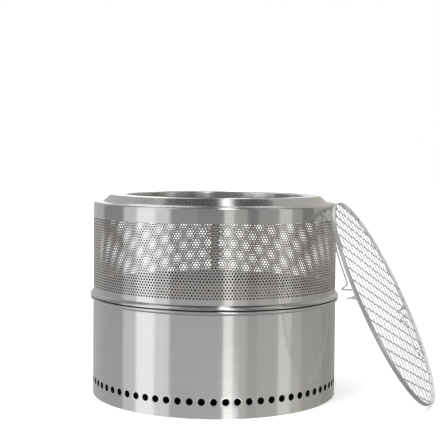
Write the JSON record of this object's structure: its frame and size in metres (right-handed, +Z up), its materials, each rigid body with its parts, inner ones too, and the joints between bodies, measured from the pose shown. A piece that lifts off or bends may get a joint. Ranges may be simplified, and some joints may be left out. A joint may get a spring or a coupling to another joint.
{
  "type": "smokeless fire pit",
  "caption": "Round double-walled smokeless fire pit with a lift-off perforated section, ash pan, burn plate and a cooking grate leaning against it.",
  "frame": {"origin": "centre of the drum's base, on the ground", "axes": "+Z up along the pit's axis, -Y towards the front, +X towards the side where the grate leans"},
  "size_m": [0.7055, 0.5435, 0.4015],
  "materials": {
    "brushed_shell": "brushed round the drum",
    "inner_steel": "mill finish, dulled by heat",
    "hearth_steel": "dull, sooty",
    "rivet_steel": "plain",
    "bail_wire": "bright drawn wire",
    "grate_wire": "zinc or chrome plated wire"
  },
  "bodies": {
    "lower_section": {"outer_drum": "brushed_shell", "drum_floor": "inner_steel", "support_ring": "inner_steel", "chamber_floor": "inner_steel", "burn_chamber_wall": "inner_steel", "fire_ledge": "inner_steel", "locating_collar": "inner_steel", "wall_spacers": "inner_steel", "spacer_rivets": "rivet_steel"},
    "upper_section": {"perforated_shell": "brushed_shell", "seat_hoop": "brushed_shell", "flame_ring": "brushed_shell", "shell_seam_strip": "inner_steel"},
    "ash_pan_body": {"ash_pan": "hearth_steel", "bail_lugs": "hearth_steel", "lug_rivets": "rivet_steel"},
    "bail_body": {"pan_bail": "bail_wire"},
    "burn_plate_body": {"burn_plate": "hearth_steel"},
    "cooking_grate": {"grate_hoop": "grate_wire", "grate_long_wires": "grate_wire", "grate_cross_wires": "grate_wire", "grate_locating_feet": "grate_wire", "grate_pointed_tabs": "grate_wire"}
  },
  "joints": [
    {"name": "upper_lift", "type": "slide", "parent": "lower_section", "child": "upper_section", "axis": [0, 0, 1], "range_m": [0, 0.25]},
    {"name": "grate_lift", "type": "slide", "parent": "upper_section", "child": "cooking_grate", "axis": [0, 0, 1], "range_m": [0, 0.3]},
    {"name": "pan_lift", "type": "slide", "parent": "lower_section", "child": "ash_pan_body", "axis": [0, 0, 1], "range_m": [0, 0.12]},
    {"name": "plate_lift", "type": "slide", "parent": "ash_pan_body", "child": "burn_plate_body", "axis": [0, 0, 1], "range_m": [0, 0.12]},
    {"name": "bail_fold", "type": "hinge", "parent": "ash_pan_body", "child": "bail_body", "pos_m": [0, 0, 0.0541], "axis": [-1, 0, 0], "range_deg": [0, 90]}
  ],
  "couplings": [
    {"joint": "bail_fold", "follows": "plate_lift", "rad_per_m": 13.08}
  ]
}
